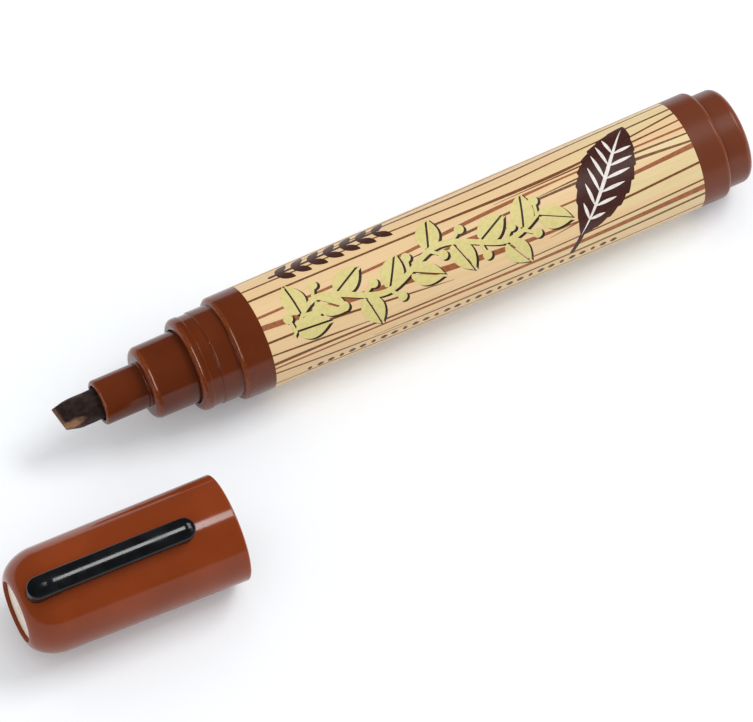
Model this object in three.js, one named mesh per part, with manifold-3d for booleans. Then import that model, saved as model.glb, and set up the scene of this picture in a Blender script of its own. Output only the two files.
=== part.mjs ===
// A furniture touch-up marker with a chisel nib, lying beside its cap.
// Millimetres, +Z up. The marker and the cap each lie along X, with the nib and the cap's closed end
// towards -X. Along the marker x = 0 is the shoulder that stops the cap; along the cap it is the mouth.

import * as THREE from "three";
import { mergeVertices } from "three/addons/utils/BufferGeometryUtils.js";
import Module from "manifold-3d";

const wasm = await Module();
wasm.setup();

// Facets round a turned piece and steps along a rounding, and how near two points are one
const FACETS = 48;
const ARC_STEPS = 4;
const WELD = 1e-4;

// Nib
const NIB_DIAMETER = 4.7;
const NIB_REACH = 6.7;
const NIB_EDGE_WIDTH = 3.6;
const NIB_EDGE_THICKNESS = 0.6;
const NIB_SHOULDER = 2.2;
const NIB_SHOULDER_CURVE = 8;
const NIB_BEVEL_LENGTH = 5;
const NIB_SLANT = 14;
const NIB_ROLL = 122;
const NIB_PIERCE = 6;
const NIB_POINT = 2;
const NIB_POINT_DIAMETER = 1.4;

// Nib holder: a tube round the nib, a collar that shows ahead of the neck, and a flange inside the barrel
const NIB_FIT = 0.05;
const TUBE_WALL = 1.08;
const TUBE_LENGTH = 7.2;
const TUBE_EDGE = 0.25;
const MOUTH_WALL = 0.7;
const MOUTH_DEPTH = 2.4;
const COLLAR_STEP = 2.12;
const COLLAR_DRAFT = 0.15;
const COLLAR_LENGTH = 6.9;
const COLLAR_EDGE = 1;
const COLLAR_WALL = 1.3;
const FLANGE_THICKNESS = 1.6;

// Barrel: neck with a snap bead and groove for the cap, shoulder, and a long tapered tube
const NECK_FIT = 0.1;
const NECK_WALL = 1.24;
const NECK_LENGTH = 6.3;
const NECK_EDGE = 0.6;
const BEAD_RISE = 0.15;
const BEAD_WIDTH = 1.5;
const GROOVE_WIDTH = 1.7;
const GROOVE_SLOPE = 0.12;
const SHOULDER_STEP = 0.84;
const SHOULDER_EDGE = 0.7;
const BARREL_LENGTH = 82.2;
const BARREL_DRAFT = 0.42;
const BARREL_REAR_EDGE = 0.8;
const FLANGE_STEP = 0.78;
const STEP_WALL = 1.6;
const SEAT_GAP = 0.05;

// Label: a film wrapped round the barrel in a shallow panel
const LABEL_START = 4.83;
const LABEL_LENGTH = 71.8;
const LABEL_THICKNESS = 0.12;
const LABEL_GAP = 0.02;

// Ink reservoir: a fibre wad in a film wrap, held between ribs inside the barrel
const RIB_COUNT = 4;
const RIB_HEIGHT = 0.5;
const RIB_WIDTH = 0.8;
const RIB_ROOT = 0.3;
const RIB_GAP = 0.1;
const WRAP_THICKNESS = 0.15;
const WRAP_GAP = 0.03;
const WAD_END_GAP = 0.3;
const WAD_EDGE = 0.5;
const SOCKET_GAP = 0.2;

// Tail plug: a cup pushed into the barrel's rear end, with a boss that stands proud of it
const PLUG_FIT = 0.1;
const PLUG_LIP = 0.45;
const PLUG_REACH = 3.5;
const PLUG_EDGE = 1.2;
const PLUG_WALL = 1.4;
const PLUG_END_WALL = 1.7;
const SPIGOT_LENGTH = 8;
const SPIGOT_EDGE = 0.4;

// Cap shell: it slides over the neck, its inner bead snaps into the neck's groove, and its end has a window
const CAP_FIT = 0.1;
const CAP_WALL = 0.84;
const CAP_DRAFT = 0.31;
const CAP_MOUTH_EDGE = 0.3;
const CAP_END_LENGTH = 5;
const CAP_END_DROP = 3.15;
const CAP_END_FULLNESS = 1.8;
const CAP_END_STEPS = 6;
const CAP_END_WALL = 2.1;
const CAP_INNER_EDGE = 0.8;
const CAP_BEAD_WIDTH = 0.9;
const CAP_BEAD_FIT = 0.06;
const WINDOW_DIAMETER = 9.3;
const WINDOW_EDGE = 0.15;
const WINDOW_RECESS = 0.5;

// Cap liner: an inner cup that closes on the holder's collar and keeps the nib wet
const SEAL_FIT = 0.1;
const LINER_WALL = 0.9;
const LINER_DRAFT = 0.25;
const LINER_FIT = 0.1;
const LINER_END_WALL = 1;
const LINER_EDGE = 0.3;
const LINER_LEAD = 0.9;
const NIB_ROOM = 3;

// Clip: a sprung bar with a stadium outline and a crowned top, plugged into a slot near the closed end
const CLIP_LENGTH = 25.9;
const CLIP_WIDTH = 3.4;
const CLIP_RISE = 2.4;
const CLIP_CROWN = 1.5;
const CLIP_CROWN_FULLNESS = 0.66;
const CLIP_END_INSET = 1;
const CLIP_ROOT_LENGTH = 5.2;
const CLIP_ROOT_SLOPE = 3;
const CLIP_ROOT_DROP = 0.6;
const CLIP_NOSE_CURVE = 1.1;
const CLIP_CLEARANCE = 0.75;
const CLIP_SEAT_GAP = 0.3;
const CLIP_PAD_LENGTH = 2.6;
const CLIP_ROLL = 108;
const TONGUE_LENGTH = 2.6;
const TONGUE_WIDTH = 2;
const TONGUE_INSET = 2.4;
const TONGUE_FIT = 0.2;

// Where the cap lies: its mouth measured from the marker's shoulder, and its turn on the table
const CAP_AHEAD = 12.94;
const CAP_ASIDE = 27.75;
const CAP_TURN = -2.06;

// Radii that follow from the sizes above, from the nib outwards
const nibRadius = NIB_DIAMETER / 2;
const channelRadius = nibRadius + NIB_FIT;
const tubeRadius = channelRadius + TUBE_WALL;
const collarFront = tubeRadius + COLLAR_STEP;
const collarRear = collarFront + COLLAR_DRAFT;
const neckBore = collarRear + NECK_FIT;
const grooveRadius = neckBore + NECK_WALL;
const neckRadius = grooveRadius + BEAD_RISE;
const shoulderRadius = neckRadius + SHOULDER_STEP;
const rearRadius = shoulderRadius + BARREL_DRAFT;
const boreFront = neckBore + FLANGE_STEP;
const boreRear = boreFront + BARREL_DRAFT;
const ribRadius = boreFront - RIB_HEIGHT;
const wrapRadius = ribRadius - RIB_GAP;
const wadRadius = wrapRadius - WRAP_THICKNESS - WRAP_GAP;

// Stations along the marker
const neckFront = -NECK_LENGTH;
const collarFace = neckFront - COLLAR_LENGTH;
const tubeMouth = collarFace - TUBE_LENGTH;
const nibTip = tubeMouth - NIB_REACH;
const flangeFront = STEP_WALL + SEAT_GAP;
const flangeRear = flangeFront + FLANGE_THICKNESS;
const wadFront = flangeRear + WAD_END_GAP;
const nibTail = wadFront + NIB_PIERCE;
const spigotFront = BARREL_LENGTH - SPIGOT_LENGTH;
const wadRear = spigotFront - WAD_END_GAP;
const plugFace = BARREL_LENGTH + PLUG_REACH;

// Radii and stations along the cap
const capBore = neckRadius + CAP_FIT;
const capMouthRadius = capBore + CAP_WALL;
const linerBore = collarRear + SEAL_FIT;
const linerRadius = linerBore + LINER_WALL;
const linerDepth = NIB_ROOM - nibTip;
const linerEnd = linerDepth + LINER_END_WALL;
const capDepth = linerEnd + LINER_FIT;
const capLength = capDepth + CAP_END_WALL;
const linerMouth = NECK_LENGTH + LINER_LEAD;

function barrelRadius(x) {
  return shoulderRadius + (BARREL_DRAFT * x) / BARREL_LENGTH;
}

function capRadius(x) {
  return capMouthRadius + (CAP_DRAFT * x) / capLength;
}

// A turned piece from its corners, each [place along X, radius, rounding]. The outer wall runs towards +X.
// An open outline starts and ends on the axis; a closed one comes back to its first corner.
function turned(corners, closed = false) {
  const outline = [];
  const place = ([x, radius]) => new THREE.Vector2(radius, x);
  corners.forEach((corner, i) => {
    const at = place(corner);
    const rounding = corner[2] ?? 0;
    if (rounding === 0) {
      outline.push(at);
      return;
    }
    const before = corners.at(i - 1);
    const after = corners[(i + 1) % corners.length];
    const back = place(before).sub(at);
    const ahead = place(after).sub(at);
    const half = back.angleTo(ahead) / 2;
    const share = (edge, next) => (edge.length() * rounding) / (rounding + (next[2] ?? 0));
    const room = Math.min(share(back, before), share(ahead, after));
    const tangent = Math.min(rounding / Math.tan(half), room);
    const radius = tangent * Math.tan(half);
    const inward = back.clone().normalize().add(ahead.clone().normalize()).normalize();
    const centre = at.clone().addScaledVector(inward, radius / Math.sin(half));
    const from = at.clone().addScaledVector(back.normalize(), tangent).sub(centre);
    const to = at.clone().addScaledVector(ahead.normalize(), tangent).sub(centre);
    const sweep = Math.atan2(from.cross(to), from.dot(to));
    for (let step = 0; step <= ARC_STEPS; step++) {
      const turn = (sweep * step) / ARC_STEPS;
      outline.push(from.clone().rotateAround(new THREE.Vector2(), turn).add(centre));
    }
  });
  if (closed) outline.push(outline[0].clone());
  const geometry = new THREE.LatheGeometry(outline, FACETS, Math.PI / FACETS);
  return geometry.rotateZ(-Math.PI / 2);
}

// A flat shape from its corners, and the same shape given a depth about its middle plane.
function shapeOf(corners) {
  return new THREE.Shape(corners.map(([x, y]) => new THREE.Vector2(x, y)));
}

function thick(shape, depth) {
  const options = { depth, bevelEnabled: false, curveSegments: 3 * ARC_STEPS };
  return new THREE.ExtrudeGeometry(shape, options).translate(0, 0, -depth / 2);
}

// A closed geometry as a solid that can be joined and cut, and the way back.
function solid(geometry) {
  const bare = geometry.clone();
  bare.deleteAttribute("normal");
  bare.deleteAttribute("uv");
  const merged = mergeVertices(bare, WELD);
  const vertProperties = merged.attributes.position.array;
  const triVerts = new Uint32Array(merged.index.array);
  return new wasm.Manifold(new wasm.Mesh({ numProp: 3, vertProperties, triVerts }));
}

function geometryOf(made) {
  const mesh = made.getMesh();
  const geometry = new THREE.BufferGeometry();
  geometry.setAttribute("position", new THREE.BufferAttribute(mesh.vertProperties, 3));
  geometry.setIndex(new THREE.BufferAttribute(mesh.triVerts, 1));
  geometry.computeVertexNormals();
  return geometry;
}

function piece(name, geometry, color, roughness) {
  const material = new THREE.MeshStandardMaterial({ color, roughness, metalness: 0 });
  const mesh = new THREE.Mesh(geometry, material);
  mesh.name = name;
  return mesh;
}

// Nib: a felt rod with rounded front shoulders, cut to a wedge and then across at a slant.
// The wedge is drawn along X and Y and the slant along X and Z, before the nib is rolled to its place.
function nib() {
  const rod = turned([
    [nibTip, 0],
    [nibTip, NIB_EDGE_WIDTH / 2],
    [nibTip + NIB_SHOULDER, nibRadius, NIB_SHOULDER_CURVE],
    [nibTail - NIB_POINT, nibRadius],
    [nibTail, NIB_POINT_DIAMETER / 2],
    [nibTail, 0],
  ]);
  const half = NIB_EDGE_THICKNESS / 2;
  const bevelEnd = nibTip + NIB_BEVEL_LENGTH;
  const beyond = nibTail + NIB_DIAMETER;
  const wedge = thick(
    shapeOf([
      [nibTip, -half],
      [bevelEnd, -nibRadius],
      [bevelEnd, -NIB_DIAMETER],
      [beyond, -NIB_DIAMETER],
      [beyond, NIB_DIAMETER],
      [bevelEnd, NIB_DIAMETER],
      [bevelEnd, nibRadius],
      [nibTip, half],
    ]),
    2 * NIB_DIAMETER,
  );
  const slope = Math.tan(THREE.MathUtils.degToRad(NIB_SLANT));
  const cutAt = (side) => nibTip + (NIB_EDGE_WIDTH / 2 - side) * slope;
  const slant = thick(
    shapeOf([
      [cutAt(-NIB_DIAMETER), -NIB_DIAMETER],
      [beyond, -NIB_DIAMETER],
      [beyond, NIB_DIAMETER],
      [cutAt(NIB_DIAMETER), NIB_DIAMETER],
    ]),
    2 * NIB_DIAMETER,
  ).rotateX(-Math.PI / 2);
  const cut = geometryOf(solid(rod).intersect(solid(wedge)).intersect(solid(slant)));
  cut.rotateX(THREE.MathUtils.degToRad(NIB_ROLL));
  return piece("nib", cut, 0x33211c, 0.8);
}

// Nib holder: loaded from the rear until its flange meets the step behind the barrel's neck.
function nibHolder() {
  const mouthBottom = tubeMouth + MOUTH_DEPTH;
  const cavityRadius = collarFront - COLLAR_WALL;
  const cavityFront = collarFace + COLLAR_WALL + COLLAR_EDGE;
  const flangeRadius = boreFront - NECK_FIT;
  const outline = turned(
    [
      [tubeMouth, tubeRadius - MOUTH_WALL, TUBE_EDGE / 2],
      [tubeMouth, tubeRadius, TUBE_EDGE],
      [collarFace, tubeRadius, TUBE_EDGE],
      [collarFace, collarFront, COLLAR_EDGE],
      [flangeFront, collarRear],
      [flangeFront, flangeRadius],
      [flangeRear, flangeRadius],
      [flangeRear, cavityRadius],
      [cavityFront, cavityRadius],
      [cavityFront, channelRadius],
      [mouthBottom, channelRadius],
      [mouthBottom, tubeRadius - MOUTH_WALL],
    ],
    true,
  );
  return piece("nib_holder", outline, 0x6d2f1a, 0.3);
}

// Barrel: one moulding from the neck to the open rear end, with ribs along its bore.
function barrel() {
  const grooveFront = neckFront + BEAD_WIDTH;
  const grooveRear = grooveFront + GROOVE_WIDTH;
  const panelFront = LABEL_START - LABEL_GAP;
  const panelRear = LABEL_START + LABEL_LENGTH + LABEL_GAP;
  const panelDepth = LABEL_THICKNESS + LABEL_GAP;
  const tube = turned(
    [
      [neckFront, neckBore],
      [neckFront, neckRadius, NECK_EDGE],
      [grooveFront, neckRadius],
      [grooveFront + GROOVE_SLOPE, grooveRadius],
      [grooveRear, grooveRadius],
      [grooveRear + GROOVE_SLOPE, neckRadius],
      [0, neckRadius],
      [0, shoulderRadius, SHOULDER_EDGE],
      [panelFront, barrelRadius(panelFront)],
      [panelFront, barrelRadius(panelFront) - panelDepth],
      [panelRear, barrelRadius(panelRear) - panelDepth],
      [panelRear, barrelRadius(panelRear)],
      [BARREL_LENGTH, rearRadius, BARREL_REAR_EDGE],
      [BARREL_LENGTH, boreRear],
      [STEP_WALL, boreFront],
      [STEP_WALL, neckBore],
    ],
    true,
  );
  let made = solid(tube);
  const ribLength = wadRear - wadFront;
  const ribOuter = boreRear + RIB_ROOT;
  for (let i = 0; i < RIB_COUNT; i++) {
    const rib = new THREE.BoxGeometry(ribLength, ribOuter - ribRadius, RIB_WIDTH);
    rib.translate(wadFront + ribLength / 2, (ribOuter + ribRadius) / 2, 0);
    rib.rotateX(((i + 0.5) * 2 * Math.PI) / RIB_COUNT);
    made = made.add(solid(rib));
  }
  return piece("barrel", geometryOf(made), 0x6d2f1a, 0.3);
}

// Label: it lies in the barrel's panel, flush with the bare plastic at both ends.
function label() {
  const labelEnd = LABEL_START + LABEL_LENGTH;
  const film = turned(
    [
      [LABEL_START, barrelRadius(LABEL_START) - LABEL_THICKNESS],
      [LABEL_START, barrelRadius(LABEL_START)],
      [labelEnd, barrelRadius(labelEnd)],
      [labelEnd, barrelRadius(labelEnd) - LABEL_THICKNESS],
    ],
    true,
  );
  return piece("label_sleeve", film, 0xe3c08c, 0.4);
}

// Ink reservoir: the nib's pointed tail stands in a socket in the wad's front end.
function reservoirCore() {
  const socketRadius = nibRadius + SOCKET_GAP;
  const socketEnd = nibTail + SOCKET_GAP;
  const wad = turned([
    [socketEnd, 0],
    [socketEnd, NIB_POINT_DIAMETER / 2 + SOCKET_GAP],
    [nibTail - NIB_POINT, socketRadius],
    [wadFront, socketRadius],
    [wadFront, wadRadius, WAD_EDGE],
    [wadRear, wadRadius, WAD_EDGE],
    [wadRear, 0],
  ]);
  return piece("reservoir_core", wad, 0x4a2a1e, 0.9);
}

function reservoirWrap() {
  const film = turned(
    [
      [wadFront, wrapRadius - WRAP_THICKNESS],
      [wadFront, wrapRadius],
      [wadRear, wrapRadius],
      [wadRear, wrapRadius - WRAP_THICKNESS],
    ],
    true,
  );
  return piece("reservoir_wrap", film, 0xe8e4da, 0.35);
}

// Tail plug: its cup holds the wad's rear end and its boss closes the barrel.
function tailPlug() {
  const spigotRadius = boreRear - (BARREL_DRAFT * SPIGOT_LENGTH) / BARREL_LENGTH - PLUG_FIT;
  const cupRadius = spigotRadius - PLUG_WALL;
  const cupEnd = plugFace - PLUG_END_WALL;
  const seat = BARREL_LENGTH + SEAT_GAP;
  const plug = turned([
    [cupEnd, 0],
    [cupEnd, cupRadius],
    [spigotFront, cupRadius],
    [spigotFront, spigotRadius, SPIGOT_EDGE],
    [seat, spigotRadius],
    [seat, boreRear + PLUG_LIP],
    [plugFace, boreRear + PLUG_LIP, PLUG_EDGE],
    [plugFace, 0],
  ]);
  return piece("tail_plug", plug, 0x74331c, 0.3);
}

// Cap shell: the end is rounded round a window for the liner, and a slot takes the clip's tongue.
const clipRoot = CLIP_END_INSET - capLength;
const clipNose = clipRoot + CLIP_LENGTH;
const tongueMiddle = clipRoot + TONGUE_INSET + TONGUE_LENGTH / 2;
const shellBore = linerRadius + LINER_FIT;
const shellBoreEnd = shellBore - LINER_DRAFT;
const windowRadius = WINDOW_DIAMETER / 2;

// The soft rounding of the cap's outside, from its end face to its side, grown by the gap a clip keeps.
function capEnd(gap) {
  const corners = [];
  for (let step = 0; step <= CAP_END_STEPS; step++) {
    const turn = ((step / CAP_END_STEPS) * Math.PI) / 2;
    const inward = 1 - Math.cos(turn) ** (2 / CAP_END_FULLNESS);
    const down = 1 - Math.sin(turn) ** (2 / CAP_END_FULLNESS);
    const x = CAP_END_LENGTH * inward - capLength;
    corners.push([x - gap * (1 - inward), capRadius(x) - CAP_END_DROP * down + gap]);
  }
  return corners;
}

function capShell() {
  const grooveMiddle = neckFront + BEAD_WIDTH + (GROOVE_WIDTH + GROOVE_SLOPE) / 2;
  const beadRadius = grooveRadius + CAP_BEAD_FIT;
  const shell = turned(
    [
      [-capLength, windowRadius, WINDOW_EDGE],
      ...capEnd(0),
      [0, capMouthRadius, CAP_MOUTH_EDGE],
      [0, capBore, CAP_MOUTH_EDGE],
      [grooveMiddle + CAP_BEAD_WIDTH / 2, capBore],
      [grooveMiddle, beadRadius],
      [grooveMiddle - CAP_BEAD_WIDTH / 2, capBore],
      [-linerMouth, capBore],
      [-linerMouth, shellBore],
      [-capDepth, shellBoreEnd, CAP_INNER_EDGE],
      [-capDepth, windowRadius],
    ],
    true,
  );
  const slotLength = TONGUE_LENGTH + 2 * TONGUE_FIT;
  const slotWidth = TONGUE_WIDTH + 2 * TONGUE_FIT;
  const slot = new THREE.BoxGeometry(slotLength, capMouthRadius, slotWidth);
  slot.translate(tongueMiddle, capMouthRadius, 0);
  slot.rotateX(THREE.MathUtils.degToRad(CLIP_ROLL));
  return piece("cap_shell", geometryOf(solid(shell).subtract(solid(slot))), 0x803a1e, 0.22);
}

// Cap liner: pressed into the shell until its end meets the shell's, with a cored boss that fills the window.
function capLiner() {
  const bossFace = WINDOW_RECESS - capLength;
  const bossRadius = windowRadius - LINER_FIT;
  const coreFloor = bossFace + LINER_END_WALL;
  const coreRadius = bossRadius - LINER_WALL;
  const cup = turned([
    [bossFace, 0],
    [bossFace, bossRadius],
    [-linerEnd, bossRadius],
    [-linerEnd, linerRadius - LINER_DRAFT, CAP_INNER_EDGE],
    [-linerMouth, linerRadius],
    [-linerMouth, linerBore, LINER_EDGE],
    [-linerDepth, linerBore - LINER_DRAFT, CAP_INNER_EDGE],
    [-linerDepth, coreRadius],
    [coreFloor, coreRadius],
    [coreFloor, 0],
  ]);
  return piece("cap_liner", cup, 0xd9d2c4, 0.5);
}

// Clip: where a side view, a plan and a cross-section agree, less the cap's outside and its seating gap.
// The side view has X along the cap and Y away from its axis; the nose carries a small pad on its underside.
function clip() {
  const crest = capRadius(clipRoot) + CLIP_RISE;
  const nose = capRadius(clipNose) + CLIP_RISE;
  const underRoot = capRadius(clipRoot + CLIP_ROOT_LENGTH) + CLIP_CLEARANCE;
  const underNose = capRadius(clipNose) + CLIP_CLEARANCE;
  const middle = clipNose - CLIP_WIDTH / 2;
  const side = new THREE.Shape();
  side.moveTo(clipRoot, shellBore);
  side.lineTo(clipRoot + CLIP_ROOT_LENGTH - CLIP_CLEARANCE, shellBore);
  side.lineTo(clipRoot + CLIP_ROOT_LENGTH, underRoot);
  side.lineTo(middle - CLIP_PAD_LENGTH / 2, underNose);
  side.quadraticCurveTo(middle, capRadius(middle), middle + CLIP_PAD_LENGTH / 2, underNose);
  side.lineTo(clipNose, underNose);
  side.lineTo(clipNose, nose - CLIP_NOSE_CURVE);
  side.quadraticCurveTo(clipNose, nose, clipNose - CLIP_NOSE_CURVE, nose);
  side.lineTo(clipRoot + CLIP_ROOT_SLOPE, crest);
  side.quadraticCurveTo(clipRoot, crest - CLIP_ROOT_DROP, clipRoot, crest - CLIP_RISE);

  const plan = new THREE.Shape();
  const radius = CLIP_WIDTH / 2;
  plan.absarc(clipNose - radius, 0, radius, -Math.PI / 2, Math.PI / 2);
  plan.absarc(clipRoot + radius, 0, radius, Math.PI / 2, (3 * Math.PI) / 2);

  const top = Math.max(crest, nose);
  const section = new THREE.Shape();
  section.moveTo(-radius, 0);
  section.lineTo(radius, 0);
  section.lineTo(radius, top - CLIP_CROWN);
  section.quadraticCurveTo(radius * CLIP_CROWN_FULLNESS, top, 0, top);
  section.quadraticCurveTo(-radius * CLIP_CROWN_FULLNESS, top, -radius, top - CLIP_CROWN);

  const bar = solid(thick(side, 2 * CLIP_WIDTH))
    .intersect(solid(thick(plan, 4 * top).rotateX(Math.PI / 2)))
    .intersect(solid(thick(section, 4 * capLength).rotateY(Math.PI / 2)));
  const clearOfCap = turned([
    [-capLength - CLIP_SEAT_GAP, 0],
    ...capEnd(CLIP_SEAT_GAP),
    [0, capMouthRadius + CLIP_SEAT_GAP],
    [0, 0],
  ]);
  const tongueFoot = shellBore + TONGUE_FIT;
  const tongueTop = capRadius(tongueMiddle) + CLIP_RISE / 2;
  const tongue = new THREE.BoxGeometry(TONGUE_LENGTH, tongueTop - tongueFoot, TONGUE_WIDTH);
  tongue.translate(tongueMiddle, (tongueTop + tongueFoot) / 2, 0);
  const made = geometryOf(bar.subtract(solid(clearOfCap)).add(solid(tongue)));
  made.rotateX(THREE.MathUtils.degToRad(CLIP_ROLL));
  return piece("clip", made, 0x101012, 0.15);
}

// The marker lies on its rear end and the cap on its mouth, both on z = 0.
const markerGroup = new THREE.Group();
markerGroup.add(barrel(), label(), nibHolder(), nib(), reservoirCore(), reservoirWrap(), tailPlug());
markerGroup.position.z = rearRadius;

const capGroup = new THREE.Group();
capGroup.add(capShell(), capLiner(), clip());
capGroup.position.set(-CAP_AHEAD, -CAP_ASIDE, capMouthRadius);
capGroup.rotation.z = THREE.MathUtils.degToRad(CAP_TURN);

// The origin is under the middle of the whole layout.
const layout = new THREE.Group();
layout.add(markerGroup, capGroup);
layout.updateMatrixWorld(true);
const box = new THREE.Box3().setFromObject(layout, true);
const centre = box.getCenter(new THREE.Vector3());
layout.position.set(-centre.x, -centre.y, -box.min.z);

const touchUpMarker = new THREE.Group();
touchUpMarker.add(layout);

export default touchUpMarker;
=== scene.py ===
import math

import bmesh
import bpy
from mathutils import Matrix, Vector, geometry, noise


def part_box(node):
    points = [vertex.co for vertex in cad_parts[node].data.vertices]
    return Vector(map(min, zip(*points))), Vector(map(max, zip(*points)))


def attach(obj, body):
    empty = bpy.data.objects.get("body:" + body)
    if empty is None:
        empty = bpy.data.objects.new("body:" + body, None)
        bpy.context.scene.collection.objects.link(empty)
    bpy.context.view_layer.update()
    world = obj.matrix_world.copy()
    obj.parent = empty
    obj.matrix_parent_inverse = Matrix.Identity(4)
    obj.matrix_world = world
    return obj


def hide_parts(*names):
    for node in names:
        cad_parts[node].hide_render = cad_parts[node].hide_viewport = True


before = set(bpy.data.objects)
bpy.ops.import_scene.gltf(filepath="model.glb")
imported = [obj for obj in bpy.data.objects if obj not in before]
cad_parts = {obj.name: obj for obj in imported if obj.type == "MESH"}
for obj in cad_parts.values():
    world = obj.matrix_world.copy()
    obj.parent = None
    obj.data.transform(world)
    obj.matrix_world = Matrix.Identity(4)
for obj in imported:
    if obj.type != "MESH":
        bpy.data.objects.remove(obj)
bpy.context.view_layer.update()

# Barrel. One brown polypropylene moulding, tapered so that it draws off its core, and open at the rear.
# The neck's bead and groove snap into the cap, the shoulder stops the cap, and the label lies in a panel.
# Sizes here and below are in millimetres and become metres when a mesh is made.
MM = 0.001
FACETS = 160
ARC_STEPS = 8
SHARP = math.radians(35)

NECK_LENGTH = 6.3
NECK_BORE = 5.85
NECK_RADIUS = 7.24
NECK_EDGE = 0.9
BEAD_WIDTH = 1.5
GROOVE_WIDTH = 1.7
GROOVE_DEPTH = 0.15
GROOVE_SLOPE = 0.12
SHOULDER_RADIUS = 8.08
SHOULDER_EDGE = 0.76
BARREL_LENGTH = 81.4
BARREL_DRAFT = 0.42
BARREL_REAR_EDGE = 0.8
BORE_FRONT = 6.63
STEP_WALL = 1.6
LABEL_START = 4.83
LABEL_LENGTH = 71.8
LABEL_THICKNESS = 0.12
LABEL_GAP = 0.02
FINE_EDGE = 0.06
GRIP_START = 40
GRIP_END = 80
REAR_RADIUS = SHOULDER_RADIUS + BARREL_DRAFT
BORE_REAR = BORE_FRONT + BARREL_DRAFT

barrel_low, barrel_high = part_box("barrel")
barrel_middle = (barrel_low + barrel_high) / 2
shoulder = Vector((barrel_low.x + NECK_LENGTH * MM, barrel_middle.y, barrel_middle.z))
marker_frame = Matrix.Translation(shoulder)


def barrel_radius(x):
    return SHOULDER_RADIUS + BARREL_DRAFT * x / BARREL_LENGTH


def rounded(corners):
    """Points (x, radius) along a turned outline, and how far each stands out on a rounded outer edge."""
    outline = []
    for i, (x, radius, rounding) in enumerate(corners):
        corner = Vector((x, radius))
        if rounding == 0:
            outline.append((corner, 0.0))
            continue
        before = corners[i - 1]
        after = corners[(i + 1) % len(corners)]
        back = Vector(before[:2]) - corner
        ahead = Vector(after[:2]) - corner
        half = back.angle(ahead) / 2
        back_room = back.length * rounding / (rounding + before[2])
        ahead_room = ahead.length * rounding / (rounding + after[2])
        tangent = min(rounding / math.tan(half), back_room, ahead_room)
        back.normalize()
        ahead.normalize()
        arc = tangent * math.tan(half)
        centre = corner + (back + ahead).normalized() * (arc / math.sin(half))
        turns_out = back.cross(ahead) > 0
        sweep = (2 * half - math.pi) if turns_out else (math.pi - 2 * half)
        spoke = corner + back * tangent - centre
        for step in range(ARC_STEPS + 1):
            share = step / ARC_STEPS
            point = centre + Matrix.Rotation(sweep * share, 2) @ spoke
            outline.append((point, math.sin(math.pi * share) if turns_out else 0.0))
    return outline


def turned(corners, closed=False):
    """A solid turned about X from corners (x, radius, rounding).

    An open outline starts and ends on the axis.
    """
    bm = bmesh.new()
    # Each vertex keeps how far it stands out on a rounded edge; moulded plastics paint those edges paler with
    # it, partly wear and partly a painted highlight.
    edge_wear_and_highlight = bm.verts.layers.float.new("edge_wear_and_highlight")
    rings = []
    for (x, radius), stands_out in rounded(corners):
        ring = []
        for k in range(FACETS if radius > 0 else 1):
            turn = 2 * math.pi * k / FACETS
            vert = bm.verts.new(Vector((x, radius * math.cos(turn), radius * math.sin(turn))) * MM)
            vert[edge_wear_and_highlight] = stands_out
            ring.append(vert)
        rings.append(ring)
    pairs = list(zip(rings, rings[1:]))
    if closed:
        pairs.append((rings[-1], rings[0]))
    for one, other in pairs:
        for k in range(FACETS):
            ahead = k + 1
            side = [one[k % len(one)], one[ahead % len(one)]]
            far_side = [other[ahead % len(other)], other[k % len(other)]]
            bm.faces.new(list(dict.fromkeys(side + far_side)))
    return bm


def mesh_of(name, bm):
    mesh = bpy.data.meshes.new(name)
    bm.to_mesh(mesh)
    bm.free()
    return mesh


def in_scene(name, data):
    """A named object with that mesh, lamp or camera, linked into the scene."""
    made = bpy.data.objects.new(name, data)
    bpy.context.scene.collection.objects.link(made)
    return made


def shaped(name, bm, place, material):
    """The mesh as a named piece at its place, smooth between its sharp edges."""
    bmesh.ops.recalc_face_normals(bm, faces=bm.faces)
    mesh = mesh_of(name, bm)
    mesh.shade_smooth()
    mesh.set_sharp_from_angle(angle=SHARP)
    mesh.materials.append(material)
    piece = in_scene(name, mesh)
    piece.matrix_world = place
    piece.modifiers.new("even_normals", "WEIGHTED_NORMAL").keep_sharp = True
    return piece


def seen(red, green, blue):
    """A colour as it looks, 0 to 255, for a shader's socket."""
    def straight(value):
        share = value / 255
        return share / 12.92 if share <= 0.04045 else ((share + 0.055) / 1.055) ** 2.4
    return (straight(red), straight(green), straight(blue), 1.0)


def node(tree, kind, options=None, inputs=None):
    """A shader node with its options set and its inputs set or linked."""
    made = tree.nodes.new(kind)
    for option, value in (options or {}).items():
        setattr(made, option, value)
    for socket, value in (inputs or {}).items():
        if isinstance(value, bpy.types.NodeSocket):
            tree.links.new(value, made.inputs[socket])
        else:
            made.inputs[socket].default_value = value
    return made


def maths(tree, operation, *values):
    inputs = dict(enumerate(values))
    return node(tree, "ShaderNodeMath", {"operation": operation}, inputs).outputs[0]


def cloud(tree, place, scale, detail):
    """Soft noise from 0 to 1 at a place; scale is in waves for each unit of the place."""
    inputs = {"Vector": place, "Scale": scale, "Detail": detail}
    return node(tree, "ShaderNodeTexNoise", None, inputs).outputs["Fac"]


def blend(tree, share, first, second):
    options = {"data_type": "RGBA"}
    return node(tree, "ShaderNodeMix", options, {0: share, 6: first, 7: second}).outputs[2]


def spread(tree, value, low, high, to_low, to_high):
    """The value moved from one range to another, held at its ends."""
    inputs = {0: value, 1: low, 2: high, 3: to_low, 4: to_high}
    return node(tree, "ShaderNodeMapRange", {"interpolation_type": "SMOOTHSTEP"}, inputs).outputs[0]


def relief(tree, shader, height, depth):
    """Small relief of that depth in millimetres on a shader, from a height of 0 to 1."""
    inputs = {"Strength": 1.0, "Distance": depth * MM, "Height": height}
    bump = node(tree, "ShaderNodeBump", None, inputs)
    tree.links.new(bump.outputs["Normal"], shader.inputs["Normal"])


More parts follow.
